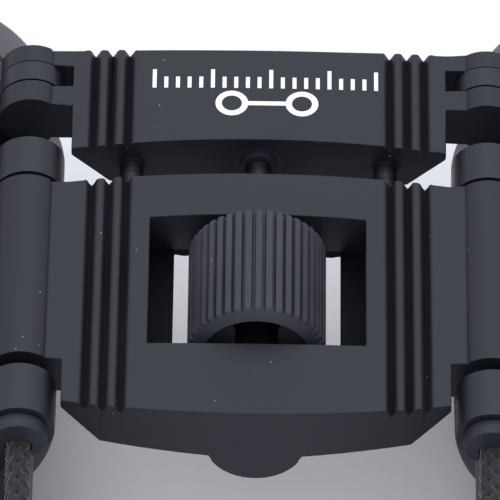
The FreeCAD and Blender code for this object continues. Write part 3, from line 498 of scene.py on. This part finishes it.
def makeRoute():
    lead = lanyard["lead"]
    back = [(-x, y, z) for x, y, z in reversed(lead)]
    points = lead + coilPoints() + back
    curve = bpy.data.curves.new("route", "CURVE")
    curve.dimensions = "3D"
    curve.resolution_u = 8
    spline = curve.splines.new("NURBS")
    spline.points.add(len(points) - 1)
    for point, place in zip(spline.points, points):
        point.co = (place[0] * mm, place[1] * mm, place[2] * mm, 1)
    spline.order_u = 3
    spline.use_endpoint_u = True
    holder = bpy.data.objects.new("route", curve)
    mesh = bpy.data.meshes.new_from_object(holder)
    line = [v.co.copy() for v in mesh.vertices]
    bpy.data.objects.remove(holder)
    bpy.data.meshes.remove(mesh)
    return line


def evenly(line, step):
    spaced, carried = [line[0]], 0.0
    for a, b in zip(line, line[1:]):
        long = (b - a).length
        while carried + long >= step and long > 0:
            share = (step - carried) / long
            a = a.lerp(b, share)
            long = (b - a).length
            spaced.append(a)
            carried = 0.0
        carried += long
    return spaced


def makeTie():
    # a strap of thin hook-and-loop tape round the coil's turns, on the side away from the object
    wide, high = lanyard["tie"]["across"] * mm, lanyard["tie"]["high"] * mm
    bm = bmesh.new()
    verts = bmesh.ops.create_cube(bm, size=1.0)["verts"]
    bmesh.ops.scale(bm, verts=verts, vec=(lanyard["tie"]["width"] * mm, wide, high))
    ends = [f for f in bm.faces if abs(f.normal.x) > 0.9]
    bmesh.ops.delete(bm, geom=ends, context="FACES_ONLY")
    corners = [e for e in bm.edges if len(e.link_faces) == 2]
    bmesh.ops.bevel(bm, geom=corners, offset=lanyard["tie"]["corner"] * mm, segments=6, profile=0.5,
                    affect="EDGES", material=-1)
    bmesh.ops.solidify(bm, geom=bm.faces[:], thickness=lanyard["tie"]["thick"] * mm)
    middle = lanyard["coilCentre"][1] - lanyard["turns"][3][0]
    bmesh.ops.translate(bm, verts=bm.verts, vec=(0, middle * mm, high / 2 + 0.02 * mm))
    bmesh.ops.recalc_face_normals(bm, faces=bm.faces)
    smoothed(bm)
    mesh = bpy.data.meshes.new("lanyard_tie")
    bm.to_mesh(mesh)
    bm.free()
    return addPiece("lanyard_tie", mesh, "bridge", "rubber")


def makeLanyard():
    # five strands each way, each passing over one and under the next
    line = evenly(makeRoute(), lanyard["step"] * mm)
    frames, side = [], Vector((1, 0, 0))
    for i, point in enumerate(line):
        along = (line[min(i + 1, len(line) - 1)] - line[max(i - 1, 0)]).normalized()
        side = (side - along * side.dot(along)).normalized()
        frames.append((point, side, along.cross(side)))
    curve = bpy.data.curves.new("braid", "CURVE")
    curve.dimensions = "3D"
    curve.bevel_depth, curve.bevel_resolution = lanyard["strandRadius"] * mm, 1
    curve.use_fill_caps = True
    paths = []
    for way in (1, -1):
        for strand in range(lanyard["strands"]):
            path = []
            for i, (point, across, up) in enumerate(frames):
                turn = 2 * math.pi * i * lanyard["step"] / lanyard["pitch"]
                angle = way * turn + 2 * math.pi * strand / lanyard["strands"]
                over = math.cos(lanyard["strands"] * turn) * way
                out = (lanyard["layRadius"] + lanyard["wave"] * over) * mm
                path.append(point + (across * math.cos(angle) + up * math.sin(angle)) * out)
            paths.append(path)
    for path in paths:
        spline = curve.splines.new("POLY")
        spline.points.add(len(path) - 1)
        for point, place in zip(spline.points, path):
            point.co = (*place, 1)
    holder = bpy.data.objects.new("braid", curve)
    mesh = bpy.data.meshes.new_from_object(holder)
    bpy.data.objects.remove(holder)
    for face in mesh.polygons:
        face.use_smooth = True
    tie = makeTie()
    cord = addPiece("lanyard_cord", mesh, "bridge", "cord",
                    ("lanyard_lead_left", "lanyard_lead_right", "lanyard_coil"))
    print("lanyard", round(len(line) * lanyard["step"] / 1000, 3), "m,", len(mesh.polygons), "faces")


makeLanyard()

# the white print on the eyepiece bridge: plain ruler ticks and a two-ring sign
printSizes = {
    "top": 29.552, "crown": 0.4, "half": 15.95, "ink": 0.03, "sink": 0.02, "longEvery": 5,
    "tickRow": 27.0, "tickFrom": -9.0, "tickStep": 1.0, "ticks": 20, "tickWidth": 0.34,
    "longTick": 2.1, "shortTick": 1.25,
    "signRow": 24.2, "rings": (-2.35, 3.65), "ringOuter": 1.4, "ringInner": 0.86,
    "barWidth": 3.3, "barThick": 0.45,
}


def printHeight(x):
    return printSizes["top"] - printSizes["crown"] * (x / printSizes["half"]) ** 2


def inkBlock(bm, x, y, width, length):
    made = bmesh.ops.create_cube(bm, size=1.0)["verts"]
    deep = printSizes["ink"] + printSizes["sink"]
    bmesh.ops.scale(bm, verts=made, vec=(width * mm, length * mm, deep * mm))
    up = printHeight(x) + (printSizes["ink"] - printSizes["sink"]) / 2
    bmesh.ops.translate(bm, verts=made, vec=(x * mm, y * mm, up * mm))


def makePrint():
    bm = bmesh.new()
    for k in range(printSizes["ticks"]):
        isLong = k % printSizes["longEvery"] == 0 or k == printSizes["ticks"] - 1
        long = printSizes["longTick"] if isLong else printSizes["shortTick"]
        y = printSizes["tickRow"] - (printSizes["longTick"] - long) / 2
        inkBlock(bm, printSizes["tickFrom"] + k * printSizes["tickStep"], y, printSizes["tickWidth"], long)
    inkBlock(bm, sum(printSizes["rings"]) / 2, printSizes["signRow"], printSizes["barWidth"],
             printSizes["barThick"])
    for x in printSizes["rings"]:
        made = bmesh.ops.create_circle(bm, segments=48, radius=printSizes["ringOuter"] * mm)["verts"]
        edges = list({e for v in made for e in v.link_edges})
        grown = bmesh.ops.extrude_edge_only(bm, edges=edges)["geom"]
        inner = [g for g in grown if isinstance(g, bmesh.types.BMVert)]
        bmesh.ops.scale(bm, verts=inner, vec=(printSizes["ringInner"] / printSizes["ringOuter"],) * 3)
        faces = list({f for v in inner for f in v.link_faces})
        up = bmesh.ops.extrude_face_region(bm, geom=faces)["geom"]
        raised = [g for g in up if isinstance(g, bmesh.types.BMVert)]
        bmesh.ops.translate(bm, verts=raised, vec=(0, 0, (printSizes["ink"] + printSizes["sink"]) * mm))
        every = made + inner + raised
        base = (x * mm, printSizes["signRow"] * mm, (printHeight(x) - printSizes["sink"]) * mm)
        bmesh.ops.translate(bm, verts=every, vec=base)
    bmesh.ops.recalc_face_normals(bm, faces=bm.faces)
    mesh = bpy.data.meshes.new("bridge_print")
    bm.to_mesh(mesh)
    bm.free()
    addPiece("bridge_print", mesh, "eyepiece_carrier", "ink")


makePrint()
print("print made")


def makeStudio():
    bm = bmesh.new()
    bmesh.ops.create_grid(bm, x_segments=1, y_segments=1, size=studio["floorHalf"])
    mesh = bpy.data.meshes.new("floor")
    bm.to_mesh(mesh)
    bm.free()
    floor = bpy.data.objects.new("floor", mesh)
    bpy.context.scene.collection.objects.link(floor)
    mesh.materials.append(paperFloor("backdropPaper"))
    for name, light in studio["lights"].items():
        data = bpy.data.lights.new(name, "AREA")
        data.energy, data.size, data.color = light["power"], light["size"], toLinear(light["colour"])[:3]
        lamp = bpy.data.objects.new(name, data)
        bpy.context.scene.collection.objects.link(lamp)
        place = Vector(light["place"])
        lamp.matrix_world = Matrix.Translation(place) @ place.to_track_quat("Z", "Y").to_matrix().to_4x4()
    world = bpy.data.worlds.new("sky")
    world.use_nodes = True
    sky = world.node_tree.nodes["Background"]
    sky.inputs["Color"].default_value = toLinear(studio["skyColour"])
    sky.inputs["Strength"].default_value = studio["skyStrength"]
    bpy.context.scene.world = world
    bpy.context.scene.view_settings.view_transform = "Standard"


makeCamera()
makeStudio()
print("camera and studio made")
